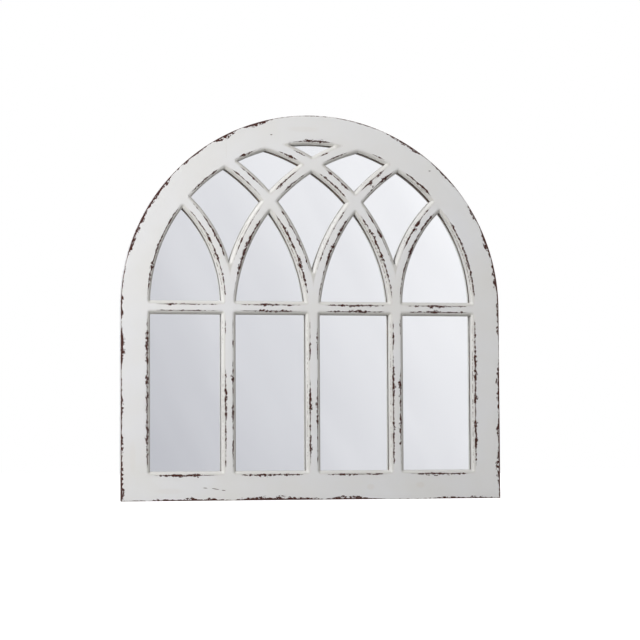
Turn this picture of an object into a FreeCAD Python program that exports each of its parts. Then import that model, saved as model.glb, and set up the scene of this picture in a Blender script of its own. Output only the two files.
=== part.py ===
"""Arched window mirror: a painted timber frame with gothic tracery in front of one mirror plate.

Millimetres. X runs to the right, Y into the wall and Z up. The origin lies on the wall plane,
midway between the round entries of the two keyhole plates that the mirror hangs on.

The frame is made as a joiner makes it. Rails, stiles, arch pieces and bars are halved and
dowelled together, and then the moulding is run round every light from the face.
"""
import FreeCAD, Part
import Sketcher
import math
import os
import re

doc = FreeCAD.newDocument("arched_window_mirror")

# ---------------------------------------------------------------- driving dimensions
SIZES = {
    "frame_width": 800,        # over the two stiles
    "spring_height": 400,      # base to the centre of the round arch
    "border_width": 60,        # stiles, bottom rail and arch ring
    "frame_depth": 24,         # face to wall
    "bar_depth": 16,           # face to glass
    "mullion_width": 29.5,
    "transom_drop": 16,        # arch centre down to the underside of the transom
    "transom_width": 27,
    "tracery_width": 29,
    "long_end_angle": 77.7,    # where the long tracery bars meet the arch, from level, in degrees
    "long_drop": 20,           # arch centre down to the centre of the long bars' arcs
    "middle_end_angle": 59.8,
    "middle_drop": 35,
    "short_end_angle": 39,
    "short_drop": -5,
    "crown_half_width": 182,   # middle of the arch to the joints of its crown piece
    "moulding_width": 7,
    "moulding_depth": 5,
    "moulding_step": 0.6,      # small square step at the face
    "moulding_bulge": 1.1,     # rise of the rounded part over its chord
    "moulding_ledge": 0.3,     # narrow flat at the foot of the moulding
    "glass_thickness": 3,
    "glass_lap": 12,           # recess beyond the lights, on the border
    "glass_gap": 1,            # play round the glass and the back panel
    "panel_thickness": 3,
    "dowel_radius": 4,
    "dowel_length": 40,
    "pin_radius": 3,
    "pin_length": 20,
    "glue_gap": 0.1,           # play round a dowel
    "dowel_setback": 14,       # dowel centre line, measured from the wall
    "rail_dowel_spacing": 24,
    "stile_dowel_spacing": 26,
    "stile_dowel_edge": 14,    # outer edge of the frame to the outer dowel
    "crown_dowel_spacing": 21,
    "hang_height": 596,        # base to the round entries of the keyholes
    "plate_width": 16,
    "plate_length": 44,
    "plate_thickness": 1.6,
    "entry_radius": 4.5,       # keyhole: round part for the screw head
    "slot_width": 4.6,         # keyhole: slot for the screw shank
    "slot_rise": 10,           # entry centre to the seat of the shank
    "head_room": 7,            # depth behind the keyhole for the screw head
    "plate_screw_pitch": 35,
    "screw_radius": 1.5,
    "screw_length": 14,
    "screw_head_radius": 2.9,
    "screw_head_height": 1.2,
    "point_width": 10,
    "point_length": 12,
    "point_thickness": 0.8,
    "point_bite": 6,           # how far a glazing point is driven into the wood
    "base_point_spacing": 220,
    "side_point_height": 150,  # base to the lower point of each stile
    "side_point_spacing": 170,
    "plate_point_angle": 16,   # from a keyhole plate to the arch's points on either side of it
}

SHEET_NAMES = {alias: "Sizes." + alias for alias in SIZES}
sheet = doc.addObject("Spreadsheet::Sheet", "Sizes")
for row, (alias, value) in enumerate(SIZES.items(), start=1):
    sheet.set(f"A{row}", alias)
    sheet.set(f"B{row}", str(value))
    sheet.setAlias(f"B{row}", alias)
doc.recompute()


def named(expression):
    """The expression with the sheet's name before each of its aliases."""
    return re.sub(r"[a-z]\w*", lambda word: SHEET_NAMES.get(word[0], word[0]), expression)


def size(expression):
    """The value of an expression in the sheet's aliases."""
    return float(sheet.evalExpression(expression))


def bind(item, **sizes):
    """Tie properties of an object to expressions in the sheet's aliases."""
    for prop, expression in sizes.items():
        item.setExpression(prop, named(str(expression)))


def place(item, x="0", y="0", z="-hang_height"):
    """Tie an object's place to the sheet."""
    for axis, expression in zip("xyz", (x, y, z)):
        item.setExpression("Placement.Base." + axis, named(expression))


# ---------------------------------------------------------------- solids of the frame
BACK_TO_FRONT = FreeCAD.Rotation(FreeCAD.Vector(1, 0, 0), 90)   # a cylinder's axis along -Y
HALF_TURN = 180
FRONT = "-frame_depth"
HALF = "frame_width / 2"
TOP = f"spring_height + {HALF}"
TRANSOM = "(spring_height - transom_drop)"
HEAD = f"({TRANSOM} + transom_width)"
INNER_RADIUS = f"({HALF} - border_width)"
PITCH = f"((2 * {INNER_RADIUS} + mullion_width) / 4)"   # four equal panes side by side
RECESS = "(frame_depth - bar_depth)"


def block(name, x, z, y=(FRONT, "0")):
    """A box between low and high expressions along each axis, with z measured from the base."""
    box = doc.addObject("Part::Box", name)
    bind(box, Length=f"{x[1]} - ({x[0]})", Width=f"{y[1]} - ({y[0]})", Height=f"{z[1]} - ({z[0]})")
    place(box, x[0], y[0], f"-hang_height + ({z[0]})")
    return box


def disc(name, radius, x="0", z="spring_height", y=(FRONT, "0")):
    """A disc about an axis along Y, between two expressions for its faces."""
    cylinder = doc.addObject("Part::Cylinder", name)
    cylinder.Placement.Rotation = BACK_TO_FRONT
    bind(cylinder, Radius=radius, Height=f"{y[1]} - ({y[0]})")
    place(cylinder, x, y[1], f"-hang_height + ({z})")
    return cylinder


def cut(name, base, *tools):
    """The base less every tool."""
    for number, tool in enumerate(tools, start=1):
        less = doc.addObject("Part::Cut", name if number == len(tools) else f"{name}_less{number}")
        less.Base = base
        less.Tool = tool
        base = less
    return base


def common(name, *shapes):
    """What all the shapes share."""
    both = doc.addObject("Part::MultiCommon", name)
    both.Shapes = list(shapes)
    return both


def fuse(name, *shapes):
    """All the shapes as one."""
    whole = doc.addObject("Part::MultiFuse", name)
    whole.Shapes = list(shapes)
    return whole


def arched(name, half_width, base_height, y=(FRONT, "0")):
    """An arched blank: a box with a round head of the same width."""
    sides = (f"-({half_width})", half_width)
    lower = block(name + "_lower", sides, (base_height, "spring_height"), y)
    head = disc(name + "_head", half_width, y=y)
    head.Angle = HALF_TURN
    return fuse(name, lower, head)


# The bars of the window, as full-depth blanks between the faces that their lights leave.
mullion_places = {"left": "-" + PITCH, "centre": "0", "right": PITCH}
mullions = {}
for side, middle in mullion_places.items():
    mullions[side] = block(f"mullion_{side}_blank",
                           (f"{middle} - mullion_width / 2", f"{middle} + mullion_width / 2"),
                           ("border_width", TRANSOM))
transom = block("transom_blank", ("-" + INNER_RADIUS, INNER_RADIUS), (TRANSOM, HEAD))
arch_opening = disc("arch_opening", INNER_RADIUS)
above_transom = block("above_transom", ("-" + HALF, HALF), (HEAD, TOP))


# A bar of each kind leaves its foot upright and ends at its own angle on the arch. Together
# these give the radius: (run^2 + rise^2) / (2 run), with run and rise from the foot to that end.
RIGHT_LEANING_FOOT = {"long": "-" + PITCH, "middle": "0", "short": PITCH}


def bar_radius(kind):
    """The radius of a kind of tracery bar, as an expression."""
    run = f"({INNER_RADIUS} * cos({kind}_end_angle) - ({RIGHT_LEANING_FOOT[kind]}))"
    rise = f"({INNER_RADIUS} * sin({kind}_end_angle) + {kind}_drop)"
    return f"(({run} ^ 2 + {rise} ^ 2) / (2 * {run}))"


def bar_centre(kind, lean):
    """The centre of a bar's arc, as expressions for X and for the height above the base."""
    side = "" if lean > 0 else "-1 * "
    return f"{side}({RIGHT_LEANING_FOOT[kind]} + {bar_radius(kind)})", f"spring_height - {kind}_drop"


def tracery_band(name, kind, lean):
    """A bar of the tracery: a circular band that leans to the right (1) or to the left (-1)."""
    centre = bar_centre(kind, lean)
    outer = disc(name + "_outer", f"{bar_radius(kind)} + tracery_width / 2", *centre)
    inner = disc(name + "_inner", f"{bar_radius(kind)} - tracery_width / 2", *centre)
    return common(name, cut(name + "_ring", outer, inner), arch_opening, above_transom)


# A bar is named for the side that its foot stands on, and the middle pair for the side it leans to.
TRACERY = {
    "long_bar_left": ("long", 1),
    "long_bar_right": ("long", -1),
    "middle_bar_left": ("middle", -1),
    "middle_bar_right": ("middle", 1),
    "short_bar_left": ("short", -1),
    "short_bar_right": ("short", 1),
}
bands = {name: tracery_band(name + "_band", *bar) for name, bar in TRACERY.items()}

# The lights are what the bars leave of the arched opening: four panes, four lancets,
# three diamonds, two small lights and one at the very top.
opening = arched("opening", INNER_RADIUS, "border_width")
lights = cut("lights", opening, fuse("all_bars", transom, *mullions.values(), *bands.values()))
doc.recompute()

# ---------------------------------------------------------------- moulding round the lights
AXIS = FreeCAD.Vector(0, 1, 0)
PAST = 1           # how far a cutter runs past the face that it starts from
NEAR = 0.001       # points closer than this are one point


def turn(start, end):
    """Angle in degrees about AXIS that turns one vector into the other."""
    return math.degrees(math.atan2(start.cross(end).dot(AXIS), start.dot(end)))


def section(point, outward):
    """The router's profile at a point of an outline: step, rounded part, ledge and straight wall."""
    face = -size("frame_depth")
    wide = size("moulding_width")
    step = size("moulding_step")
    deep = size("moulding_depth")
    ledge = size("moulding_ledge")

    def at(offset, y):
        return FreeCAD.Vector(point.x, 0, point.z) + outward * offset + AXIS * y

    run = wide - ledge
    fall = deep - step
    bulge = size("moulding_bulge") / math.hypot(run, fall)
    arris = at(wide, face + step)
    crest = at((wide + ledge) / 2 - fall * bulge, face + (deep + step) / 2 - run * bulge)
    foot = at(ledge, face + deep)
    wall = at(0, face + deep)
    return [
        Part.makeLine(at(wide, face - PAST), arris),
        Part.Arc(arris, crest, foot).toShape(),
        Part.makeLine(foot, wall),
        Part.makeLine(wall, at(0, face + size("bar_depth") + PAST)),
    ]


def outline_runs(face):
    """Each edge of a light's face with its ends and the outward direction at each end."""
    runs = []
    for edge in face.OuterWire.Edges:
        first, last = edge.ParameterRange
        start, middle, end = [edge.valueAt(t) for t in (first, (first + last) / 2, last)]
        outward = edge.tangentAt((first + last) / 2).cross(AXIS)
        if face.isInside(middle + outward * 50 * NEAR, NEAR, True):
            outward = -outward
        if isinstance(edge.Curve, Part.Circle):
            centre = edge.Curve.Center
            sign = 1 if outward.dot(middle - centre) > 0 else -1
            angle = turn(start - centre, middle - centre) + turn(middle - centre, end - centre)
            normals = [(p - centre).normalize() * sign for p in (start, end)]
            runs.append((start, end, *normals, centre, angle))
        else:
            runs.append((start, end, outward, outward, None, 0))
    return runs


def corners(runs):
    """Where two runs meet: the point, and the outward direction of either run there."""
    ends = [(run[i], run[i + 2]) for run in runs for i in (0, 1)]
    return [(point, outward, other) for number, (point, outward) in enumerate(ends)
            for near, other in ends[:number] if (near - point).Length < NEAR]


def swept(shape, run):
    """A shape at a run's start, carried along the run."""
    start, end, _, _, centre, angle = run
    if centre is None:
        return shape.extrude(end - start)
    return shape.revolve(FreeCAD.Vector(centre.x, 0, centre.z), AXIS, angle)


def moulded_light(light):
    """A light as a cutter: its straight walls, with the moulding flaring towards the face."""
    face = min(light.Faces, key=lambda f: f.CenterOfMass.y)
    runs = outline_runs(face)
    faces = []
    rim = []
    floor = []
    for run in runs:
        edges = section(run[0], run[2])
        faces += [swept(edge, run) for edge in edges]
        rim.append(swept(edges[0].Vertexes[0], run))
        floor.append(swept(edges[-1].Vertexes[1], run))
    for corner, toward, other in corners(runs):
        axis_point = FreeCAD.Vector(corner.x, 0, corner.z)
        edges = section(corner, toward)
        faces += [edge.revolve(axis_point, AXIS, turn(toward, other)) for edge in edges[:-1]]
        rim.append(edges[0].Vertexes[0].revolve(axis_point, AXIS, turn(toward, other)))
    for outline in (rim, floor):
        faces.append(Part.Face(Part.Wire(Part.__sortEdges__(outline))))
    shell = Part.makeShell(faces)
    shell.sewShape()
    solid = Part.makeSolid(Part.Shell(shell.Faces))
    if solid.Volume < 0:
        solid.reverse()
    return solid


cutter = doc.addObject("Part::Feature", "moulded_lights")
cutter.Shape = Part.makeCompound([moulded_light(light) for light in lights.Shape.Solids])

# ---------------------------------------------------------------- the frame, whole
board = arched("board", "frame_width / 2", "0")
recess = arched("recess", f"{INNER_RADIUS} + glass_lap", "border_width - glass_lap",
                ("-" + RECESS, "0"))
whole_frame = cut("whole_frame", board, recess, cutter)

# ---------------------------------------------------------------- blanks of the frame's pieces
blanks = {
    "bottom_rail": block("bottom_rail_blank", ("-" + INNER_RADIUS, INNER_RADIUS), ("0", "border_width")),
    "left_stile": block("left_stile_blank", ("-" + HALF, "-" + INNER_RADIUS), ("0", HEAD)),
    "right_stile": block("right_stile_blank", (INNER_RADIUS, HALF), ("0", HEAD)),
    "transom": transom,
}
ARCH = {
    "arch_left": ("-" + HALF, "-crown_half_width"),
    "arch_crown": ("-crown_half_width", "crown_half_width"),
    "arch_right": ("crown_half_width", HALF),
}
for name, span in ARCH.items():
    blanks[name] = cut(name + "_blank", block(name + "_board", span, (HEAD, TOP)), arch_opening)
for side, mullion in mullions.items():
    blanks["mullion_" + side] = mullion

# Feet of the tracery: bars that spring from one mullion part on its middle line.
left_of_mullion = block("left_of_mullion", ("-" + HALF, "-" + PITCH), (HEAD, TOP))
right_of_mullion = block("right_of_mullion", (PITCH, HALF), (HEAD, TOP))
left_half = block("left_half", ("-" + HALF, "0"), (HEAD, TOP))
right_half = block("right_half", ("0", HALF), (HEAD, TOP))
short_left = common("short_left_blank", bands["short_bar_left"], left_of_mullion)
short_right = common("short_right_blank", bands["short_bar_right"], right_of_mullion)

# Crossings are halved: bars that lean to the right keep the half next to the face.
MIDDLE_DEPTH = "-frame_depth + bar_depth / 2"
SPAN = ("-" + HALF, HALF)
face_half = block("face_half", SPAN, (HEAD, TOP), (FRONT, MIDDLE_DEPTH))
glass_half = block("glass_half", SPAN, (HEAD, TOP), (MIDDLE_DEPTH, "0"))


def halving(name, band, half):
    """The notch that a bar leaves in the bars that it crosses."""
    return common(name + "_notch", bands[band], half)


from_long_left = halving("long_left", "long_bar_left", face_half)
from_middle_right = halving("middle_right", "middle_bar_right", face_half)
from_long_right = halving("long_right", "long_bar_right", glass_half)
from_middle_left = halving("middle_left", "middle_bar_left", glass_half)
blanks["short_bar_left"] = short_left
blanks["short_bar_right"] = short_right
blanks["long_bar_left"] = cut("long_bar_left_blank", bands["long_bar_left"],
                              short_left, from_middle_left, from_long_right)
blanks["long_bar_right"] = cut("long_bar_right_blank", bands["long_bar_right"],
                               short_right, from_middle_right, from_long_left)
blanks["middle_bar_left"] = cut("middle_bar_left_blank",
                                common("middle_left_half", bands["middle_bar_left"], left_half),
                                from_long_left)
blanks["middle_bar_right"] = cut("middle_bar_right_blank",
                                 common("middle_right_half", bands["middle_bar_right"], right_half),
                                 from_long_right)

# ---------------------------------------------------------------- dowels
ALONG = {"X": FreeCAD.Rotation(FreeCAD.Vector(0, 1, 0), 90), "Z": FreeCAD.Rotation()}


def rod(name, kind, axis, x, z, play):
    """A round rod centred on a point of the dowels' plane, with play all round."""
    cylinder = doc.addObject("Part::Cylinder", name)
    cylinder.Placement.Rotation = ALONG[axis]
    half_length = f"({kind}_length / 2 + {play})"
    bind(cylinder, Radius=f"{kind}_radius + {play}", Height=f"2 * {half_length}")
    start_x = f"{x} - {half_length}" if axis == "X" else x
    start_z = f"{z} - {half_length}" if axis == "Z" else z
    place(cylinder, start_x, "-dowel_setback", f"-hang_height + ({start_z})")
    return cylinder


CROWN_JOINT = (f"(sqrt({INNER_RADIUS} ^ 2 - crown_half_width ^ 2)"
               f" + sqrt(({HALF}) ^ 2 - crown_half_width ^ 2)) / 2")   # arch centre to its middle

frame_joints = []
for sign in ("-", ""):
    for share in ("- rail_dowel_spacing / 2", "+ rail_dowel_spacing / 2"):
        frame_joints.append(("X", sign + INNER_RADIUS, f"border_width / 2 {share}"))
    for setback in ("stile_dowel_edge", "stile_dowel_edge - stile_dowel_spacing"):
        frame_joints.append(("Z", f"{sign}({HALF} - {setback})", HEAD))
    for share in ("- crown_dowel_spacing / 2", "+ crown_dowel_spacing / 2"):
        height = f"spring_height + {CROWN_JOINT} {share}"
        frame_joints.append(("X", sign + "crown_half_width", height))

bar_joints = [("X", sign + INNER_RADIUS, TRANSOM + " + transom_width / 2") for sign in ("-", "")]
for middle in mullion_places.values():
    for height in ("border_width", TRANSOM, HEAD):
        bar_joints.append(("Z", middle, height))

frame_dowels = [rod(f"dowel_{n}", "dowel", *joint, "0") for n, joint in enumerate(frame_joints)]
frame_holes = [rod(f"dowel_hole_{n}", "dowel", *joint, "glue_gap") for n, joint in enumerate(frame_joints)]
bar_dowels = [rod(f"pin_{n}", "pin", *joint, "0") for n, joint in enumerate(bar_joints)]
bar_holes = [rod(f"pin_hole_{n}", "pin", *joint, "glue_gap") for n, joint in enumerate(bar_joints)]


def bar_end(kind, lean):
    """Where a tracery bar's centre line meets the arch, and its direction there."""
    angle = math.radians(size(f"{kind}_end_angle"))
    ring = size(INNER_RADIUS)
    depth = -size("dowel_setback")
    end = FreeCAD.Vector(lean * ring * math.cos(angle), depth,
                         size("spring_height - hang_height") + ring * math.sin(angle))
    x, height = bar_centre(kind, lean)
    centre = FreeCAD.Vector(size(x), depth, size(f"{height} - hang_height"))
    return end, (end - centre).cross(AXIS).normalize()


def arch_pins(play):
    """Rods that pin the upper end of each tracery bar to the arch."""
    rods = []
    for kind, lean in TRACERY.values():
        point, direction = bar_end(kind, lean)
        half_length = size("pin_length") / 2 + play
        rods.append(Part.makeCylinder(size("pin_radius") + play, 2 * half_length,
                                      point - direction * half_length, direction))
    return Part.makeCompound(rods)


arch_pins_made = doc.addObject("Part::Feature", "arch_pins")
arch_pins_made.Shape = arch_pins(0)
arch_pin_holes = doc.addObject("Part::Feature", "arch_pin_holes")
arch_pin_holes.Shape = arch_pins(size("glue_gap"))


def group(name, members):
    """Separate solids kept under one name."""
    compound = doc.addObject("Part::Compound", name)
    compound.Links = members
    return compound


# ---------------------------------------------------------------- mirror plate and back panel
def sketch_on(body, name, plane="XZ_Plane"):
    """A sketch on one of a body's own planes."""
    sketch = body.newObject("Sketcher::SketchObject", name)
    support = next(f for f in body.Origin.OriginFeatures if f.Role == plane)
    sketch.AttachmentSupport = [(support, "")]
    sketch.MapMode = "FlatFace"
    return sketch


def dimension(sketch, expression, kind, *where):
    """A dimension of a sketch, tied to the sheet."""
    index = sketch.addConstraint(Sketcher.Constraint(kind, *where, size(expression)))
    sketch.setExpression(f"Constraints[{index}]", named(expression))


def link(sketch, kind, *where):
    """A constraint of a sketch without a size."""
    sketch.addConstraint(Sketcher.Constraint(kind, *where))


def point(x, z):
    """A point of a sketch."""
    return FreeCAD.Vector(x, z, 0)


START, END, CENTRE = range(1, 4)
ORIGIN = (-1, 1)


def arched_sheet(name, half_width, base_height, thickness, back):
    """A flat sheet with a round head, padded from its sketch and set with its back at a depth."""
    body = doc.addObject("PartDesign::Body", name)
    sketch = sketch_on(body, name + "_outline")
    wide = size(half_width)
    tall = size(f"spring_height - ({base_height})")
    line = Part.LineSegment
    sketch.addGeometry(line(point(-wide, -tall), point(wide, -tall)))
    sketch.addGeometry(line(point(wide, -tall), point(wide, 0)))
    head = Part.Circle(point(0, 0), FreeCAD.Vector(0, 0, 1), wide)
    sketch.addGeometry(Part.ArcOfCircle(head, 0, math.pi))
    sketch.addGeometry(line(point(-wide, 0), point(-wide, -tall)))
    for first, second in ((0, 1), (1, 2), (2, 3), (3, 0)):
        link(sketch, "Coincident", first, END, second, START)
    link(sketch, "Horizontal", 0)
    link(sketch, "Vertical", 1)
    link(sketch, "Vertical", 3)
    link(sketch, "Coincident", 2, CENTRE, *ORIGIN)
    link(sketch, "PointOnObject", 2, START, -1)
    link(sketch, "PointOnObject", 2, END, -1)
    dimension(sketch, half_width, "Radius", 2)
    dimension(sketch, f"spring_height - ({base_height})", "DistanceY", 1, START, 1, END)
    pad = body.newObject("PartDesign::Pad", name + "_pad")
    pad.Profile = sketch
    bind(pad, Length=thickness)
    place(body, "0", back, "-hang_height + spring_height")
    return body


SHEET_HALF = f"{INNER_RADIUS} + glass_lap - glass_gap"
SHEET_BASE = "border_width - glass_lap + glass_gap"
GLASS_BACK = f"-({RECESS} - glass_thickness)"
PANEL_BACK = f"-({RECESS} - glass_thickness - panel_thickness)"
mirror_glass = arched_sheet("mirror_glass_sheet", SHEET_HALF, SHEET_BASE, "glass_thickness", GLASS_BACK)
back_panel = arched_sheet("back_panel_sheet", SHEET_HALF, SHEET_BASE, "panel_thickness", PANEL_BACK)


# ---------------------------------------------------------------- place of the keyhole plates
PLATE_MIDDLE = "hang_height + slot_rise / 2"
PLATE_RADIUS = f"(({INNER_RADIUS} + glass_lap + {HALF}) / 2)"   # middle of the solid border
PLATE_X = f"sqrt({PLATE_RADIUS} ^ 2 - ({PLATE_MIDDLE} - spring_height) ^ 2)"


# ---------------------------------------------------------------- glazing points
def glazing_point(x, z, outward):
    """A flat steel point driven into the wall of the recess, over the back panel."""
    bite = size("point_bite")
    length = size("point_length")
    width = size("point_width")
    tab = Part.makeBox(length, size("point_thickness"), width)
    tab.translate(FreeCAD.Vector(bite - length, size(PANEL_BACK), -width / 2))
    tab.rotate(FreeCAD.Vector(), AXIS, -outward)
    tab.translate(FreeCAD.Vector(x, 0, z - size("hang_height")))
    return tab


edge = size(f"{INNER_RADIUS} + glass_lap")
base = size("border_width - glass_lap")
spring = size("spring_height")
seats = [(k * size("base_point_spacing"), base, -90) for k in (-1, 0, 1)]
for k in (0, 1):
    height = size("side_point_height") + k * size("side_point_spacing")
    seats += [(edge, height, 0), (-edge, height, 180)]
plate_angle = size(f"asin(({PLATE_MIDDLE} - spring_height) / {PLATE_RADIUS})")
beside = [plate_angle + side * size("plate_point_angle") for side in (-1, 1)]
for angle in (*beside, HALF_TURN / 2, *(HALF_TURN - angle for angle in beside)):
    x = edge * math.cos(math.radians(angle))
    seats.append((x, spring + edge * math.sin(math.radians(angle)), angle))
glazing_points = doc.addObject("Part::Feature", "glazing_points_made")
glazing_points.Shape = Part.makeCompound([glazing_point(*seat) for seat in seats])

# ---------------------------------------------------------------- keyhole plates


def keyhole_plate(name, x):
    """A flat steel plate with a keyhole, its outer face flush with the wall plane."""
    body = doc.addObject("PartDesign::Body", name)
    sketch = sketch_on(body, name + "_outline")
    wide = size("plate_width / 2")
    tall = size("plate_length / 2")
    corners = [point(-wide, -tall), point(wide, -tall), point(wide, tall), point(-wide, tall)]
    for first, second in zip(corners, corners[1:] + corners[:1]):
        sketch.addGeometry(Part.LineSegment(first, second))
    for n in range(4):
        link(sketch, "Coincident", n, END, (n + 1) % 4, START)
        link(sketch, "Horizontal" if n % 2 == 0 else "Vertical", n)
    link(sketch, "Symmetric", 0, START, 1, END, *ORIGIN)
    dimension(sketch, "plate_width", "DistanceX", 0, START, 0, END)
    dimension(sketch, "plate_length", "DistanceY", 1, START, 1, END)
    pad = body.newObject("PartDesign::Pad", name + "_pad")
    pad.Profile = sketch
    bind(pad, Length="plate_thickness")
    opening_sketch = sketch_on(body, name + "_keyhole")
    entry = size("entry_radius")
    slot = size("slot_width / 2")
    rise = size("slot_rise")
    low = -rise / 2
    mouth = math.asin(slot / entry)
    axis = FreeCAD.Vector(0, 0, 1)
    round_part = Part.Circle(point(0, low), axis, entry)
    opening_sketch.addGeometry(Part.ArcOfCircle(round_part, math.pi / 2 + mouth,
                                                math.pi / 2 - mouth + 2 * math.pi))
    meeting = low + entry * math.cos(mouth)
    opening_sketch.addGeometry(Part.LineSegment(point(slot, meeting), point(slot, low + rise)))
    seat = Part.Circle(point(0, low + rise), axis, slot)
    opening_sketch.addGeometry(Part.ArcOfCircle(seat, 0, math.pi))
    opening_sketch.addGeometry(Part.LineSegment(point(-slot, low + rise), point(-slot, meeting)))
    for first, second in ((0, 1), (1, 2), (2, 3), (3, 0)):
        link(opening_sketch, "Coincident", first, END, second, START)
    link(opening_sketch, "Vertical", 1)
    link(opening_sketch, "Vertical", 3)
    link(opening_sketch, "PointOnObject", 0, CENTRE, -2)
    link(opening_sketch, "PointOnObject", 2, CENTRE, -2)
    link(opening_sketch, "Horizontal", 2, START, 2, END)
    link(opening_sketch, "Horizontal", 2, START, 2, CENTRE)
    dimension(opening_sketch, "entry_radius", "Radius", 0)
    dimension(opening_sketch, "slot_width / 2", "Radius", 2)
    dimension(opening_sketch, "slot_rise / 2", "DistanceY", 0, CENTRE, *ORIGIN)
    dimension(opening_sketch, "slot_rise / 2", "DistanceY", *ORIGIN, 2, CENTRE)
    pocket = body.newObject("PartDesign::Pocket", name + "_pocket")
    pocket.Profile = opening_sketch
    pocket.Type = "ThroughAll"
    pocket.Midplane = True
    place(body, x, "0", f"-hang_height + {PLATE_MIDDLE}")
    return body


PLATE_SCREW_ENDS = ("- plate_screw_pitch / 2", "+ plate_screw_pitch / 2")


def plate_screw(name, x, z):
    """A small countersunk screw that holds a keyhole plate, its head flush with the plate."""
    head = doc.addObject("Part::Cone", name + "_head")
    head.Placement.Rotation = BACK_TO_FRONT
    bind(head, Radius1="screw_head_radius", Radius2="screw_radius", Height="screw_head_height")
    place(head, x, "0", f"-hang_height + ({z})")
    shank = disc(name + "_shank", "screw_radius", x, z, ("-screw_length", "-screw_head_height / 2"))
    return fuse(name, head, shank)


plates = {}
screws = []
mortises = []
for side, x in (("left", "-" + PLATE_X), ("right", PLATE_X)):
    plates[side] = keyhole_plate(f"plate_{side}", x)
    for n, end in enumerate(PLATE_SCREW_ENDS):
        screws.append(plate_screw(f"plate_screw_{side}_{n}", x, PLATE_MIDDLE + " " + end))
    mortises.append(block(f"plate_mortise_{side}", (f"{x} - plate_width / 2", f"{x} + plate_width / 2"),
                          (f"{PLATE_MIDDLE} - plate_length / 2", f"{PLATE_MIDDLE} + plate_length / 2"),
                          ("-plate_thickness", "0")))
    mortises.append(block(f"head_room_{side}", (f"{x} - entry_radius", f"{x} + entry_radius"),
                          ("hang_height - entry_radius", "hang_height + slot_rise + entry_radius"),
                          ("-head_room", "0")))
doc.recompute()
print(f"wall screws {2 * size(PLATE_X):.3f} mm apart")

# ---------------------------------------------------------------- the pieces, each by its name
cuts = group("joinery_cuts", frame_holes + bar_holes + [arch_pin_holes, glazing_points] + mortises + screws)
pieces = []


def piece(name, item):
    """Keep an object as a piece of the mirror, under the name that its file gets."""
    item.Label = name
    pieces.append(item)


for name, blank in blanks.items():
    member = common(name + "_member", whole_frame, blank)
    piece(name, cut(name + "_piece", member, cuts))
piece("mirror_glass", mirror_glass)
piece("back_panel", back_panel)
piece("frame_dowels", group("frame_dowel_group", frame_dowels))
piece("tracery_dowels", group("tracery_dowel_group", bar_dowels + [arch_pins_made]))
piece("glazing_points", group("glazing_point_group", [glazing_points]))
for side, plate in plates.items():
    piece(f"keyhole_plate_{side}", cut(f"keyhole_plate_{side}_made", plate, *screws))
piece("plate_screws", group("plate_screw_group", screws))
doc.recompute()

# ---------------------------------------------------------------- checks and files
for item in doc.Objects:
    if "Invalid" in item.State or "Error" in item.State:
        raise SystemExit(f"{item.Label} did not compute: {item.State}")
for item in pieces:
    if item.Shape.isNull() or not item.Shape.isValid():
        raise SystemExit(f"{item.Label} has no valid shape")
os.makedirs("parts", exist_ok=True)
for item in pieces:
    item.Shape.exportStep(f"parts/{item.Label}.step")
    print(f"{item.Label:22} {len(item.Shape.Solids):3} solids {item.Shape.Volume:12.1f} mm3")
CUBIC_CM = 1000
frame_volume = sum(item.Shape.Volume for item in pieces[:len(blanks)]) / CUBIC_CM
print(f"frame pieces {frame_volume:.2f} cm3 of {whole_frame.Shape.Volume / CUBIC_CM:.2f} cm3 before joints")
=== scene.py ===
# %% [markdown]
# # An arched window mirror, dressed
# The object is a wall mirror made like a church window: a round-headed timber frame with four
# panes below a transom and crossing tracery bars above it, one mirror plate behind all the
# lights, white paint that has been rubbed through along its edges, and a plain board at the
# back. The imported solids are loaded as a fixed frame, and every length here is in metres
# unless its name ends in mm.

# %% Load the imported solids
import bpy
import math
import numpy as np
from mathutils import Matrix, Vector


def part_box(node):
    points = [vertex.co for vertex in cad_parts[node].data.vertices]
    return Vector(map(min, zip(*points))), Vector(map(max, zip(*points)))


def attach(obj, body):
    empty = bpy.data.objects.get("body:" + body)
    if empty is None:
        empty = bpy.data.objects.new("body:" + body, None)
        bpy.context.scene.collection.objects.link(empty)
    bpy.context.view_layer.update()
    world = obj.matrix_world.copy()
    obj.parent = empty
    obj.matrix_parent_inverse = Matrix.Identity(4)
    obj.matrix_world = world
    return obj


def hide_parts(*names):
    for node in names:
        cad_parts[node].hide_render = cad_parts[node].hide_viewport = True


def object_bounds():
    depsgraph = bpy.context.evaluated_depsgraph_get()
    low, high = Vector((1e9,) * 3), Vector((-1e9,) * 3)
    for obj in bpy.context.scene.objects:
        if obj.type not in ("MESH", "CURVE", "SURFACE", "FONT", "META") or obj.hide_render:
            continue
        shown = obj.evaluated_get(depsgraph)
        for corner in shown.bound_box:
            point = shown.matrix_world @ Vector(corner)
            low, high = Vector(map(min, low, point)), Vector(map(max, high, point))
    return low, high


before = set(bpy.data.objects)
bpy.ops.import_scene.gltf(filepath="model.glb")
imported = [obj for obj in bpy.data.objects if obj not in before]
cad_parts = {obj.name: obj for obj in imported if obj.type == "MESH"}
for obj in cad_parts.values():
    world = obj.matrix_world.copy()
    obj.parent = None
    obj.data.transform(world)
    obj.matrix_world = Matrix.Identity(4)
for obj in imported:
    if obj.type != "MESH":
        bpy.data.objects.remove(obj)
loaded_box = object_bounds()
print("packed solids:", len(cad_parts), "box", loaded_box)

# %% [markdown]
# ## The camera
# The photograph looks at the mirror from its left and slightly from below, with a long lens,
# so that verticals stay parallel. The camera could be turned by eye, but its place and angles
# were solved from the window's own corners and crossings, whose sizes are known, and are
# written here as three angles, a distance and the point on the face that it looks at.

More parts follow.
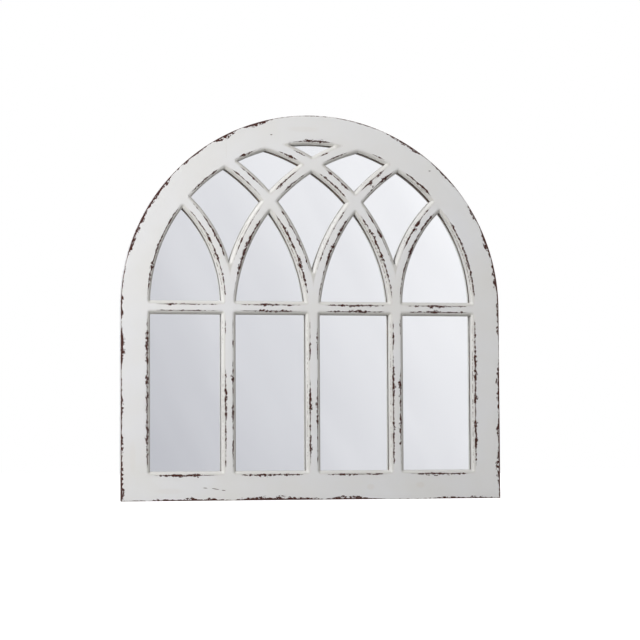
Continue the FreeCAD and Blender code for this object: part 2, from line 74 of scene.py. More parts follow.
# %% Camera at the photographed angle
YAW, PITCH, ROLL = (math.radians(a) for a in (-11.55, -3.41, -0.28))
DISTANCE = 4.447
LOOKS_AT = Vector((0.0144, -0.024, -0.2236))
SENSOR_MM = 36
FOCAL_WIDTHS = 2138.87 / 640          # focal length in widths of the square picture

forward = Vector((-math.sin(YAW) * math.cos(PITCH),
                  math.cos(YAW) * math.cos(PITCH),
                  -math.sin(PITCH)))
level_right = forward.cross(Vector((0, 0, 1))).normalized()
level_up = level_right.cross(forward)
right = level_right * math.cos(ROLL) + level_up * math.sin(ROLL)
up = level_up * math.cos(ROLL) - level_right * math.sin(ROLL)

lens = bpy.data.cameras.new("camera")
lens.sensor_width = SENSOR_MM
lens.lens = SENSOR_MM * FOCAL_WIDTHS
camera = bpy.data.objects.new("camera", lens)
camera.matrix_world = Matrix.Translation(LOOKS_AT - forward * DISTANCE) @ Matrix(
    (right, up, -forward)).transposed().to_4x4()
bpy.context.collection.objects.link(camera)
bpy.context.scene.camera = camera
bpy.context.scene.view_settings.view_transform = "Standard"
print(f"camera at {[round(v, 3) for v in camera.matrix_world.translation]},",
      f"lens {lens.lens:.1f} mm")

# %% [markdown]
# ## Two helpers for every finish
# Colours are written as the sRGB hex values that a screen shows, and shaders work in linear
# light, so one function turns one into the other. Materials are graphs of nodes. One helper
# adds a node, sets it up and links its inputs, so that a pattern reads like a sum.

# %% Helpers for colours and nodes
def linear(colour, alpha=1.0):
    """An sRGB hex colour as linear RGBA.

    Each part v becomes v / 12.92 up to 0.04045, and ((v + 0.055) / 1.055) ** 2.4 above it."""
    parts = [int(colour[i:i + 2], 16) / 255 for i in (1, 3, 5)]
    return (*(v / 12.92 if v <= 0.04045 else ((v + 0.055) / 1.055) ** 2.4 for v in parts), alpha)


def add(tree, kind, inputs=(), out=0, **settings):
    """Adds a node, sets it up, links or sets its inputs by order or name, and gives an output."""
    made = tree.nodes.new("ShaderNode" + kind)
    for name, value in settings.items():
        setattr(made, name, value)
    pairs = inputs.items() if isinstance(inputs, dict) else enumerate(inputs)
    for key, value in pairs:
        if isinstance(value, bpy.types.NodeSocket):
            tree.links.new(value, made.inputs[key])
        elif value is not None:
            made.inputs[key].default_value = value
    return made.outputs[out] if made.outputs else made


def new_material(name):
    """A material with an empty graph and its output node."""
    material = bpy.data.materials.new(name)
    material.use_nodes = True
    material.node_tree.nodes.clear()
    return material, material.node_tree


# %% [markdown]
# ## Where the edges of the timber are
# Paint wears first where hands and cloths catch it: along the sharp upper edge of every
# moulding and along the outline. A finish that knows only noise would wear the flats as well.
# The window is all straight lines and circles, so the distance from a point to every edge
# can be worked out in the graph itself, from the same sizes that shaped the timber. Lengths
# in this graph are millimetres, about the centre of the arch.

# %% Sizes of the window, in millimetres
HALF_WIDTH = 400
BORDER = 60
INNER = HALF_WIDTH - BORDER
BASE = -400                     # the bottom edge, below the arch's centre
MULLION = 29.5
PITCH_OF_MULLIONS = (2 * INNER + MULLION) / 4
TRANSOM_MIDDLE = -2.5
TRANSOM = 27
TRACERY = 29
MOULDING = 7
DEPTH = 24
FAR_AWAY = -1000.0
CROTCH_STEEPNESS = 9.0          # how fast a corner's nearness falls outside the two bars
WEAR_LEANS = (-0.8, 0.0, 0.8)   # wear sits lower on the sides of a bar that look right and down
ARCH_CENTRE = Vector((0, 0, -0.196))
# each kind of bar: foot of the one that leans right, end angle on the arch, drop of its centre
BARS = {
    "long": (-PITCH_OF_MULLIONS, 77.7, 20),
    "middle": (0, 59.8, 35),
    "short": (PITCH_OF_MULLIONS, 39, -5),
}


def bar_circle(foot, angle, drop):
    """A bar's centre line as a circle: it leaves its foot upright and meets the arch at an angle.

    With run and rise from the foot to that end, the radius is (run^2 + rise^2) / (2 run)."""
    run = INNER * math.cos(math.radians(angle)) - foot
    rise = INNER * math.sin(math.radians(angle)) + drop
    radius = (run ** 2 + rise ** 2) / (2 * run)
    return foot + radius, -drop, radius


circles = {kind: bar_circle(*bar) for kind, bar in BARS.items()}
for kind, circle in circles.items():
    print(f"{kind} bars: centre {circle[0]:.1f}, {circle[1]:.1f}, radius {circle[2]:.1f} mm")


# %% A graph that measures the distance to the edges
def edge_group():
    """A group from a place in mm to its distances from the mouldings' upper edge and the outline.

    Each bar gives how deep a point lies in it: half its width less the distance to its middle
    line. Where bars cross, the depth to the corner is the root of the sum of their squares.
    The second deepest bar tells how near a corner of a light is: it is 0 there, and falls
    below 0 along the side."""
    tree = bpy.data.node_groups.new("distance_to_edges", "ShaderNodeTree")
    tree.interface.new_socket("Place", in_out="INPUT", socket_type="NodeSocketVector")
    for name in ("Moulding edge", "Outline", "Corner"):
        tree.interface.new_socket(name, in_out="OUTPUT", socket_type="NodeSocketFloat")
    true_place = tree.nodes.new("NodeGroupInput").outputs[0]
    place = add(tree, "VectorMath", (true_place, WEAR_LEANS), operation="ADD")
    result = tree.nodes.new("NodeGroupOutput")

    def calc(operation, *values):
        return add(tree, "Math", values, operation=operation)

    def from_arch_centre(point):
        """Side, height, and the distance to the centre, or to the middle line below it."""
        side, height = (add(tree, "SeparateXYZ", (point,), out=i) for i in (0, 2))
        above = add(tree, "CombineXYZ", (side, 0.0, calc("MAXIMUM", height, 0.0)))
        return side, height, add(tree, "VectorMath", (above,), out="Value", operation="LENGTH")

    x, z, reach = from_arch_centre(place)
    _, true_z, true_reach = from_arch_centre(true_place)
    flat_place = add(tree, "CombineXYZ", (x, 0.0, z))

    def off_circle(lean, circle):
        """How far a point lies beyond a bar's middle line, below 0 on the inner side."""
        centre = (lean * circle[0], 0.0, circle[1])
        away = add(tree, "VectorMath", (flat_place, centre), out="Value", operation="DISTANCE")
        return calc("SUBTRACT", away, circle[2])

    def pair_depths(right_leaning, left_leaning):
        """How deep a point is in the nearer of two bars on one foot, and in the crotch above it."""
        beyond = [off_circle(1, circles[right_leaning]), off_circle(-1, circles[left_leaning])]
        inside = [calc("SUBTRACT", TRACERY / 2, calc("ABSOLUTE", off)) for off in beyond]
        crotch = calc("MINIMUM", calc("MINIMUM", *inside),
                      calc("MULTIPLY", calc("MINIMUM", *beyond), CROTCH_STEEPNESS))
        depth = calc("MINIMUM", calc("MAXIMUM", *inside), calc("SUBTRACT", z, TRANSOM_MIDDLE))
        return depth, crotch

    off_centre = calc("ABSOLUTE", x)
    off_side_mullion = calc("ABSOLUTE", calc("SUBTRACT", off_centre, PITCH_OF_MULLIONS))
    off_mullion = calc("MINIMUM", off_side_mullion, off_centre)
    in_mullion = calc("MINIMUM", calc("SUBTRACT", MULLION / 2, off_mullion),
                      calc("SUBTRACT", TRANSOM_MIDDLE, z))
    off_transom = calc("ABSOLUTE", calc("SUBTRACT", z, TRANSOM_MIDDLE))
    pairs = [pair_depths("long", "short"), pair_depths("short", "long"),
             pair_depths("middle", "middle")]
    depths = [
        *(depth for depth, crotch in pairs),
        calc("SUBTRACT", reach, INNER),
        calc("SUBTRACT", BASE + BORDER, z),
        calc("SUBTRACT", TRANSOM / 2, off_transom),
        in_mullion,
    ]
    total = calc("POWER", calc("MAXIMUM", depths[0], 0.0), 2.0)
    deepest = depths[0]
    second = FAR_AWAY
    for depth in depths[1:]:
        total = calc("ADD", total, calc("POWER", calc("MAXIMUM", depth, 0.0), 2.0))
        second = calc("MAXIMUM", second, calc("MINIMUM", deepest, depth))
        deepest = calc("MAXIMUM", deepest, depth)
    for depth, crotch in pairs:
        second = calc("MAXIMUM", second, crotch)
    outline = calc("MINIMUM", calc("SUBTRACT", HALF_WIDTH, true_reach),
                   calc("SUBTRACT", true_z, BASE))
    tree.links.new(calc("SUBTRACT", calc("SQRT", total), MOULDING), result.inputs[0])
    tree.links.new(outline, result.inputs[1])
    tree.links.new(second, result.inputs[2])
    return tree


edges = edge_group()
print("nodes that measure the edges:", len(edges.nodes))

# %% [markdown]
# ## Rubbed places
# Wear on a real frame isn't even. The sides of the lights are rubbed along their middles and
# whole at their corners, which the graph above can tell, but some stretches are almost bare
# and others are whole. Noise alone would spread them evenly, so they are named here by where
# they lie on the window, each with its length and how strong it is.

# %% Stretches that are worn most
# x and z in mm from the arch's centre, length of the stretch, slope from level, strength
RUBBED_OUTLINE = [
    (-398, 0, 55, 90, 0.5), (-398, -89, 85, 90, 1.0), (-399, -238, 175, 90, 0.45),
    (-398, -361, 75, 90, 0.8),
    (-370, 145, 95, 68, 0.8), (-327, 227, 105, 55, 1.0), (-249, 311, 67, 39, 0.6),
    (-184, 354, 56, 27, 0.9), (-120, 381, 53, 17, 1.0),
    (203, 344, 104, -31, 0.35), (284, 280, 77, -45, 0.6), (347, 196, 44, -61, 0.6),
    (374, 139, 70, -70, 1.0), (394, 60, 70, -81, 0.9), (399, -26, 110, 90, 0.45),
    (399, -169, 95, 90, 0.8), (398, -309, 185, 90, 0.9),
    (-257, -399, 165, 0, 0.6), (-76, -399, 172, 0, 1.0), (75, -399, 89, 0, 0.8),
    (319, -399, 141, 0, 0.45),
]
RUBBED_MOULDINGS = [
    # stiles and mullions, then the transom and the rail
    (-346, -184, 294, 90, 0.9), (-177, -185, 280, 90, 0.6), (0, -185, 280, 90, 0.6),
    (177, -185, 280, 90, 0.7), (347, -185, 260, 90, 0.7), (-271, -2, 100, 0, 0.5),
    (-80, -2, 110, 0, 0.6), (95, -2, 110, 0, 0.5), (270, -2, 100, 0, 0.5),
    (-271, -347, 101, 0, 0.7), (-95, -347, 120, 0, 0.5), (89, -347, 134, 0, 0.6),
    (280, -347, 110, 0, 0.7),
    # top light and the two beside it
    (10, 344, 83, -2, 0.9), (-20, 318, 44, -27, 0.7), (29, 319, 25, 30, 0.7),
    (-130, 320, 60, 20, 0.9), (-62, 320, 60, -20, 0.8), (-57, 263, 63, 39, 0.8),
    (-125, 266, 45, -37, 0.5), (70, 320, 74, 20, 0.9), (130, 269, 70, 39, 0.9),
    (55, 265, 71, -36, 0.7), (153, 267, 56, 39, 0.7), (47, 251, 84, -43, 0.4),
    # diamonds and lancets, from the left
    (-324, 107, 141, 75, 0.9), (-207, 150, 74, -60, 0.6), (-210, 104, 148, -70, 0.7),
    (-141, 151, 73, 65, 0.5), (-134, 125, 139, 65, 0.7), (-41, 112, 165, -68, 0.8),
    (-44, 165, 85, -59, 0.6), (50, 127, 128, 69, 0.9), (136, 114, 164, -68, 0.8),
    (136, 163, 94, -60, 0.5), (214, 156, 81, 61, 0.7), (222, 129, 142, 63, 0.8),
    (224, 262, 79, -40, 0.6), (321, 109, 173, -71, 0.6),
]
# soft smears: x, z, length, slope, strength
STAINS = [(120, -374, 18, 0, 0.6), (227, -371, 20, 0, 0.6), (-300, -380, 60, 0, 0.4),
          (-20, 371, 70, 0, 0.4), (-376, -310, 70, 90, 0.3)]
# thin marks: a broken scratch, two dents, and paint cracked over the crown's left joint
MARKS = [(-227, -374, 13, -5, 0.37), (-206, -376, 21, -11, 0.42), (-189, -379, 11, -4, 0.4),
         (-87, 358, 5, 0, 0.8), (252, 289, 5, 0, 0.8), (-182, 326, 62, 90, 0.2)]
# half the width of each kind
OUTLINE_REACH_MM, MOULDING_REACH_MM, STAIN_REACH_MM, MARK_REACH_MM = 12, 14, 7, 0.9
FULL_WITHIN, NONE_BEYOND = 0.6, 1.1   # in half lengths and half widths from a stretch's middle


def stretches_group(name, stretches, half_width):
    """A group from a place in mm to how strongly it lies on one of some stretches, from 0 to 1.

    Each stretch is a long oval, and its strength fades out around its rim. The places along
    and across it are dot products of the offset from its middle."""
    tree = bpy.data.node_groups.new(name, "ShaderNodeTree")
    tree.interface.new_socket("Place", in_out="INPUT", socket_type="NodeSocketVector")
    tree.interface.new_socket("Strength", in_out="OUTPUT", socket_type="NodeSocketFloat")
    place = tree.nodes.new("NodeGroupInput").outputs[0]
    result = tree.nodes.new("NodeGroupOutput")
    total = None
    for x, z, length, slope, strength in stretches:
        run, rise = math.cos(math.radians(slope)), math.sin(math.radians(slope))
        offset = add(tree, "VectorMath", (place, (x, 0.0, z)), operation="SUBTRACT")
        along = add(tree, "VectorMath", (offset, (2 * run / length, 0.0, 2 * rise / length)),
                    out="Value", operation="DOT_PRODUCT")
        across = add(tree, "VectorMath", (offset, (-rise / half_width, 0.0, run / half_width)),
                     out="Value", operation="DOT_PRODUCT")
        oval = add(tree, "CombineXYZ", (along, across, 0.0))
        away = add(tree, "VectorMath", (oval,), out="Value", operation="LENGTH")
        near = add(tree, "MapRange", (away, FULL_WITHIN, NONE_BEYOND, strength, 0.0))
        total = near if total is None else add(tree, "Math", (total, near), operation="MAXIMUM")
    tree.links.new(total, result.inputs[0])
    return tree


rubbed_outline = stretches_group("rubbed_outline", RUBBED_OUTLINE, OUTLINE_REACH_MM)
rubbed_mouldings = stretches_group("rubbed_mouldings", RUBBED_MOULDINGS, MOULDING_REACH_MM)
stained = stretches_group("stained_places", STAINS, STAIN_REACH_MM)
marked = stretches_group("marks", MARKS, MARK_REACH_MM)
print("rubbed stretches, stains and marks:", len(RUBBED_OUTLINE) + len(RUBBED_MOULDINGS),
      len(STAINS), len(MARKS))

# %% [markdown]
# ## Painted timber
# The frame is softwood, primed red-brown and brushed with white eggshell paint that has
# mellowed. The eye sees a soft, slightly uneven white with faint brush marks along each
# piece, and ragged dashes of dark primer where an edge has been rubbed. A second mesh of
# paint flakes could do it, but the paint is only a quarter of a millimetre thick, so colour
# and a small bump show all of it. Brush marks follow the piece, so each direction has its
# own material, all made by one function.

# %% Painted timber
PAINT = "#E8E8E9"
PAINT_MELLOW = "#E4E2DC"
PAINT_SHADED_MOULDING = "#D4D2CD"   # painted shade: paint darker and a little warmer down the mouldings
PAINT_STAINED = "#D6CBBD"
PAINT_THIN = "#B9A69C"          # primer shows through next to a chip
PRIMER_DARK = "#2B110C"
PRIMER = "#54291F"
PINE = "#B99468"
PINE_LATE = "#8F6A42"
PAINT_THICKNESS_MM = 0.25
ONTO_FLAT_MM = 3.3            # how far from a moulding's edge the paint can be gone
DOWN_MOULDING_MM = 2.6
DOWN_LIT_MOULDING_MM = 1.3    # less on mouldings that look up
OUTLINE_CHIP_MM = 5.6
QUIRK_MM = 5.3                # down the moulding, where a second, finer line is rubbed
QUIRK_REACH_MM = 1.4
SHADED_STRIP_Y_MM = 9.7          # dark primer as painted shade on the last of the wall next to the glass
SHADED_STRIP_DEEPER_MM = 5.0     # and further up the walls that look down and left, away from the lamps
CORNER_WHOLE_MM, CORNER_RUBBED_MM = -7.0, -20.0    # sides are rubbed away from their corners
PATCH_MM, SWELL_MM, CHIP_MM = 38.0, 15.0, 4.2      # sizes of the noises that make the wear
CLOUD_MM, PRIMER_MM, LATE_WOOD_MM = 120.0, 3.0, 3.5
CHIP_STRETCH = (0.7, 1.0, 1.0)                     # along, through and across the piece
BRUSH_STRETCH = (0.012, 0.4, 0.6)
GRAIN_STRETCH = (0.02, 0.25, 1.0)
BRUSH_MARK_MM = 0.08
PAINT_SHEEN, BARE_SHEEN = 0.42, 0.78               # roughness of paint, and of primer and pine
M_TO_MM = (1000.0,) * 3
# how much each thing counts, all from 0 to 1 or a little over
STRETCHES_COUNT, PATCHES_COUNT, LEAST_RAGGED = 0.75, 0.7, 0.16
OUTLINE_RAGGED, OUTLINE_EVEN = 0.85, 0.4
MARK_LEVEL, CHIP_RIM, THIN_RIM = 0.3, 0.06, -0.2
# the last is how much of the mouldings' painted shade is lifted on sides that look up and left,
# towards the lamps
STAIN_SHARE, THIN_SHARE, SHADE_LIFTED_ON_LIT_SIDES = 0.3, 0.2, 0.45
# ways that a moulding can look
UP_LEFT, LEFT, DOWN_LEFT = (-0.5, 0.0, 0.5), (-1.0, 0.0, 0.0), (-0.5, 0.0, -0.87)


def straight(slope):
    """Directions along and across a straight piece, slope in degrees from level."""
    def follow(tree, place):
        turn = (0.0, -math.radians(slope), 0.0)
        return add(tree, "Mapping", {"Vector": place, "Rotation": turn}, vector_type="TEXTURE")
    return follow


def round_bar(x, z, radius):
    """Directions along and across a bent piece: the angle times its radius, and the distance."""
    def follow(tree, place):
        moved = add(tree, "VectorMath", (place, (x, 0.0, z)), operation="SUBTRACT")
        side, depth, height = (add(tree, "SeparateXYZ", (moved,), out=i) for i in range(3))
        angle = add(tree, "Math", (height, side), operation="ARCTAN2")
        along = add(tree, "Math", (angle, float(radius)), operation="MULTIPLY")
        across = add(tree, "VectorMath", (moved,), out="Value", operation="LENGTH")
        return add(tree, "CombineXYZ", (along, depth, across))
    return follow


def painted_timber(name, follow, brushed=None):
    """Worn white paint over primer on the face and sides, bare softwood at the back.

    follow gives the directions of the wood's grain, and brushed those of the brush where they
    differ."""
    material, tree = new_material(name)

    def calc(operation, *values):
        return add(tree, "Math", values, operation=operation)

    def noise(vector, size_mm, detail, roughness):
        return add(tree, "TexNoise", {"Vector": vector, "Scale": 1 / size_mm, "Detail": detail,
                                      "Roughness": roughness}, out="Fac")

    def ramp(value, start, end, at_start, at_end):
        return add(tree, "MapRange", (value, start, end, at_start, at_end))

    def mix(factor, low, high):
        return add(tree, "Mix", {0: factor, 6: low, 7: high}, out=2, data_type="RGBA")

    def scaled(vector, factors):
        return add(tree, "VectorMath", (vector, factors), operation="MULTIPLY")

    def measured(group):
        used = tree.nodes.new("ShaderNodeGroup")
        used.node_tree = group
        tree.links.new(place, used.inputs[0])
        return used.outputs

    def turned_to(direction):
        return add(tree, "VectorMath", (add(tree, "NewGeometry", out="Normal"), direction),
                   out="Value", operation="DOT_PRODUCT")

    from_centre = add(tree, "VectorMath", (add(tree, "TexCoord", out="Object"), ARCH_CENTRE),
                      operation="SUBTRACT")
    place = scaled(from_centre, M_TO_MM)
    grain_place = follow(tree, place)
    brush_place = brushed(tree, place) if brushed else grain_place
    y = add(tree, "SeparateXYZ", (place,), out=1)
    moulding_edge, outline, near_corner = measured(edges)

    # how far a point is from the edges that catch, 0 on an edge and 1 where chips end
    faces_up = ramp(turned_to(UP_LEFT), 0.1, 0.3, 0.0, 1.0)
    down = ramp(faces_up, 0.0, 1.0, -DOWN_MOULDING_MM, -DOWN_LIT_MOULDING_MM)
    off_moulding = calc("MAXIMUM", calc("DIVIDE", moulding_edge, ONTO_FLAT_MM),
                        calc("DIVIDE", moulding_edge, down))
    from_face = calc("ADD", y, float(DEPTH))
    corner = add(tree, "CombineXYZ", (outline, from_face, 0.0))
    from_corner = add(tree, "VectorMath", (corner,), out="Value", operation="LENGTH")
    off_outline = calc("DIVIDE", from_corner, OUTLINE_CHIP_MM)

    # how hard it was rubbed there: sides of the lights along their middles, and named stretches
    patches = ramp(noise(place, PATCH_MM, 1.0, 0.5), 0.34, 0.54, 0.2, 0.45)
    along_side = ramp(near_corner, CORNER_RUBBED_MM, CORNER_WHOLE_MM, 1.0, 0.0)
    rubbing = calc("ADD", patches,
                   calc("MULTIPLY", measured(rubbed_mouldings)[0], STRETCHES_COUNT))
    on_moulding = calc("MULTIPLY", rubbing, along_side)
    on_outline = calc("ADD", measured(rubbed_outline)[0], calc("MULTIPLY", patches, PATCHES_COUNT))

    # the paint is gone where the rubbing beats the distance, with a ragged edge along the piece
    lengthwise = scaled(brush_place, CHIP_STRETCH)
    grains = ramp(noise(lengthwise, CHIP_MM, 3.0, 0.75), 0.42, 0.58, 0.0, 1.2)
    swell = ramp(noise(lengthwise, SWELL_MM, 1.0, 0.5), 0.38, 0.66, 0.25, 1.45)
    ragged = calc("MULTIPLY", grains, swell)
    along_moulding = calc("MULTIPLY", on_moulding, calc("ADD", ragged, LEAST_RAGGED))
    at_moulding = calc("SUBTRACT", along_moulding, off_moulding)
    along_outline = calc("ADD", calc("MULTIPLY", ragged, OUTLINE_RAGGED), OUTLINE_EVEN)
    at_outline = calc("SUBTRACT", calc("MULTIPLY", on_outline, along_outline), off_outline)
    off_quirk = calc("DIVIDE", calc("ABSOLUTE", calc("ADD", moulding_edge, QUIRK_MM)),
                     QUIRK_REACH_MM)
    faces_left = ramp(turned_to(LEFT), 0.3, 0.6, 0.0, 0.38)
    in_quirk = calc("MULTIPLY", calc("MULTIPLY", grains, on_moulding), faces_left)
    at_quirk = calc("SUBTRACT", in_quirk, off_quirk)
    worn = calc("MAXIMUM", calc("MAXIMUM", at_moulding, at_quirk), at_outline)
    worn = calc("MAXIMUM", worn, calc("SUBTRACT", measured(marked)[0], MARK_LEVEL))
    gone = ramp(worn, 0.0, CHIP_RIM, 0.0, 1.0)
    thin = ramp(worn, THIN_RIM, 0.0, 0.0, 1.0)

    # paint: mellow in soft clouds, stained in places, painted shade down the mouldings (lighter on
    # those that look up and left), thin next to a chip
    clouds = ramp(noise(place, CLOUD_MM, 3.0, 0.5), 0.35, 0.7, 0.0, 0.55)
    paint = mix(clouds, linear(PAINT), linear(PAINT_MELLOW))
    paint = mix(calc("MULTIPLY", measured(stained)[0], STAIN_SHARE), paint,
                linear(PAINT_STAINED))
    # painted shade in the mouldings, lifted on the sides that face the lamps above and at the left
    painted_moulding_shade = calc("MULTIPLY", ramp(moulding_edge, -0.4, -1.8, 0.0, 1.0),
                 calc("SUBTRACT", 1.0, calc("MULTIPLY", faces_up, SHADE_LIFTED_ON_LIT_SIDES)))
    paint = mix(painted_moulding_shade, paint, linear(PAINT_SHADED_MOULDING))
    paint = mix(calc("MULTIPLY", thin, THIN_SHARE), paint, linear(PAINT_THIN))

    # primer in the chips, and dark primer as painted shade on the last of the walls next to the
    # glass
    primer = mix(noise(place, PRIMER_MM, 3.0, 0.6), linear(PRIMER_DARK), linear(PRIMER))
    in_light = ramp(moulding_edge, -5.8, -6.2, 0.0, 1.0)
    deeper = ramp(turned_to(DOWN_LEFT), 0.82, 0.97, 0.0, SHADED_STRIP_DEEPER_MM)
    by_glass = ramp(calc("ADD", y, deeper), -SHADED_STRIP_Y_MM - 0.5, -SHADED_STRIP_Y_MM + 0.5, 0.0, 1.0)
    painted_shade_by_glass = calc("MULTIPLY", in_light, by_glass)
    finish = mix(calc("MAXIMUM", gone, painted_shade_by_glass), paint, primer)

    # bare softwood at the back, with its late wood in lines along the piece
    grain = scaled(grain_place, GRAIN_STRETCH)
    lines = ramp(noise(grain, LATE_WOOD_MM, 3.0, 0.55), 0.42, 0.62, 0.0, 1.0)
    timber = mix(lines, linear(PINE), linear(PINE_LATE))
    facing = add(tree, "SeparateXYZ", (add(tree, "NewGeometry", out="Normal"),), out=1)
    lapped = calc("SUBTRACT", outline, calc("MULTIPLY", ragged, 2.0))
    lapped = calc("MINIMUM", lapped, calc("ADD", moulding_edge, float(MOULDING)))
    back = calc("MULTIPLY", calc("GREATER_THAN", facing, 0.7), calc("GREATER_THAN", lapped, 0.0))
    colour = mix(back, finish, timber)

    # brush marks along the piece, and the step at the edge of a chip
    marks = noise(scaled(brush_place, BRUSH_STRETCH), 1.0, 4.0, 0.6)
    height = calc("ADD", calc("MULTIPLY", marks, BRUSH_MARK_MM),
                  calc("MULTIPLY", calc("SUBTRACT", 1.0, gone), PAINT_THICKNESS_MM))
    relief = add(tree, "Bump", {"Height": height, "Strength": 1.0, "Distance": 0.001})
    sheen = ramp(calc("MAXIMUM", gone, back), 0.0, 1.0, PAINT_SHEEN, BARE_SHEEN)
    shader = add(tree, "BsdfPrincipled", {"Base Color": colour, "Roughness": sheen, "IOR": 1.5,
                                          "Normal": relief})
    add(tree, "OutputMaterial", (shader,))
    return material


def dress(node, material):
    """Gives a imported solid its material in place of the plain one."""
    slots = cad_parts[node].data.materials
    slots.clear()
    slots.append(material)


HALF_ARCH_SLOPE = 52
UPRIGHT, LEVEL = straight(90), straight(0)
PIECES = {
    "left_stile": UPRIGHT, "right_stile": UPRIGHT, "bottom_rail": LEVEL, "transom": LEVEL,
    "mullion_left": UPRIGHT, "mullion_centre": UPRIGHT, "mullion_right": UPRIGHT,
}
AROUND_ARCH = round_bar(0, 0, HALF_WIDTH - BORDER / 2)
ARCH_PIECES = {"arch_crown": LEVEL, "arch_left": straight(HALF_ARCH_SLOPE),
               "arch_right": straight(-HALF_ARCH_SLOPE)}
brushed_paint = {UPRIGHT: painted_timber("brushed_paint_upright", UPRIGHT),
                 LEVEL: painted_timber("brushed_paint_level", LEVEL)}
for node, follow in PIECES.items():
    dress(node, brushed_paint[follow])
for node, follow in ARCH_PIECES.items():
    dress(node, painted_timber("brushed_paint_" + node, follow, AROUND_ARCH))
LEANS = {"long_bar_left": ("long", 1), "long_bar_right": ("long", -1),
         "middle_bar_right": ("middle", 1), "middle_bar_left": ("middle", -1),
         "short_bar_right": ("short", 1), "short_bar_left": ("short", -1)}
for node, (kind, lean) in LEANS.items():
    x, z, radius = circles[kind]
    dress(node, painted_timber("brushed_paint_" + node, round_bar(lean * x, z, radius)))
print("painted pieces:", len(PIECES) + len(ARCH_PIECES) + len(LEANS))

# %% [markdown]
# ## The mirror plate
# A mirror is clear float glass with a film of silver on its back. Seen close, the frame's back
# edge and its reflection lie a little apart, because the silver is 3 mm behind the face. A
# shiny surface at the front would lose that dark line, so the plate is a closed slab with
# two finishes: glass on its face and edges, and silver on its back.

# %% Mirror plate as one closed slab
low, high = (np.array(c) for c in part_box("mirror_glass"))
ARC_STEPS = 128
PLAY = 0.00005          # so that no face of the plate lies exactly in a face of its neighbours


def arched_outline(half_width, base, springing, steps):
    """Points of an arch, anticlockwise from the left: two base corners, then a half circle.

    A point of the half circle is springing + half_width * (cos a, sin a), with a from 0 to
    180 degrees."""
    angle = np.linspace(0, np.pi, steps)
    head = np.stack([half_width * np.cos(angle), springing + half_width * np.sin(angle)], axis=1)
    feet = np.array([[-half_width, base], [half_width, base]])
    return np.vstack([feet, head])


outline = arched_outline(high[0], low[2], ARCH_CENTRE.z, ARC_STEPS)
count = len(outline)
front = np.insert(outline, 1, low[1] + PLAY, axis=1)
back = np.insert(outline, 1, high[1] - PLAY, axis=1)
ring = np.arange(count)
after = np.roll(ring, -1)
sides = np.stack([ring, ring + count, after + count, after], axis=1)
faces = [ring.tolist(), (ring + count)[::-1].tolist(), *sides.tolist()]
mesh = bpy.data.meshes.new("mirror_plate")
mesh.from_pydata(np.vstack([front, back]).tolist(), [], faces)
mesh.polygons.foreach_set("material_index", [0, 1] + [0] * count)
mirror = bpy.data.objects.new("mirror_plate", mesh)
bpy.context.collection.objects.link(mirror)
print(f"mirror plate {1000 * 2 * high[0]:.0f} x {1000 * (high[2] - low[2]):.0f} mm, {count} sides")

# %% Float glass and silver
glass, tree = new_material("float_glass")
shader = add(tree, "BsdfPrincipled", {"Base Color": linear("#FBFDFC"), "Roughness": 0.0,
                                      "IOR": 1.52, "Transmission Weight": 1.0})
add(tree, "OutputMaterial", (shader,))
silver, tree = new_material("silver_film")
shader = add(tree, "BsdfPrincipled", {"Base Color": linear("#FAFAF8"), "Metallic": 1.0,
                                      "Roughness": 0.015})
add(tree, "OutputMaterial", (shader,))
mesh.materials.append(glass)
mesh.materials.append(silver)
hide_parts("mirror_glass")
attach(mirror, "root")

# %% [markdown]
# ## Board, dowels and steel
# The back is hardboard, pressed from brown wood fibre, smooth but mottled. The glazing
# points, keyhole plates and screws are zinc-plated steel, and the dowels are beech.

# %% Hardboard, beech and zinc-plated steel
def simple_finish(name, dark, light, size_mm, stretch, roughness, metallic=0.0,
                  relief_mm=0.05):
    """A finish that varies between two colours in a noise of a real size, with a matching bump."""
    material, tree = new_material(name)
    place = add(tree, "VectorMath", (add(tree, "TexCoord", out="Object"),
                                     tuple(1000 * s for s in stretch)), operation="MULTIPLY")
    pattern = add(tree, "TexNoise", {"Vector": place, "Scale": 1 / size_mm, "Detail": 5.0,
                                     "Roughness": 0.65}, out="Fac")
    sharp = add(tree, "MapRange", (pattern, 0.3, 0.7, 0.0, 1.0))
    colour = add(tree, "Mix", {0: sharp, 6: linear(dark), 7: linear(light)}, out=2,
                 data_type="RGBA")
    height = add(tree, "Math", (pattern, relief_mm), operation="MULTIPLY")
    relief = add(tree, "Bump", {"Height": height, "Strength": 1.0, "Distance": 0.001})
    shader = add(tree, "BsdfPrincipled", {"Base Color": colour, "Roughness": roughness,
                                          "Metallic": metallic, "Normal": relief})
    add(tree, "OutputMaterial", (shader,))
    return material


hardboard = simple_finish("pressed_hardboard", "#6A4A2E", "#8C6A46", 4.0, (1, 1, 0.6), 0.6)
beech = simple_finish("turned_beech", "#B98F5E", "#D3AE7C", 2.0, (1, 1, 0.1), 0.55)
zinc = simple_finish("zinc_plated_steel", "#9A9DA0", "#BFC2C4", 6.0, (1, 1, 1), 0.35, 1.0, 0.01)
FINISHES = {
    hardboard: ["back_panel"],
    beech: ["frame_dowels", "tracery_dowels"],
    zinc: ["glazing_points", "keyhole_plate_left", "keyhole_plate_right", "plate_screws"],
}
for material, nodes in FINISHES.items():
    for node in nodes:
        dress(node, material)
print("finishes:", [m.name for m in FINISHES])

# %% [markdown]
# ## What the mirror sees
# A mirror has no colour of its own: it shows the room. Here that is a pale room, dimmer low on
# the left and brighter high on the right. A painted backdrop in front of the mirror could give
# the same, but it would also colour the frame, so the room is a gradient in the world that only
# reflected rays see. Light that falls on the frame is plain white from all sides, and the
# camera itself sees white.

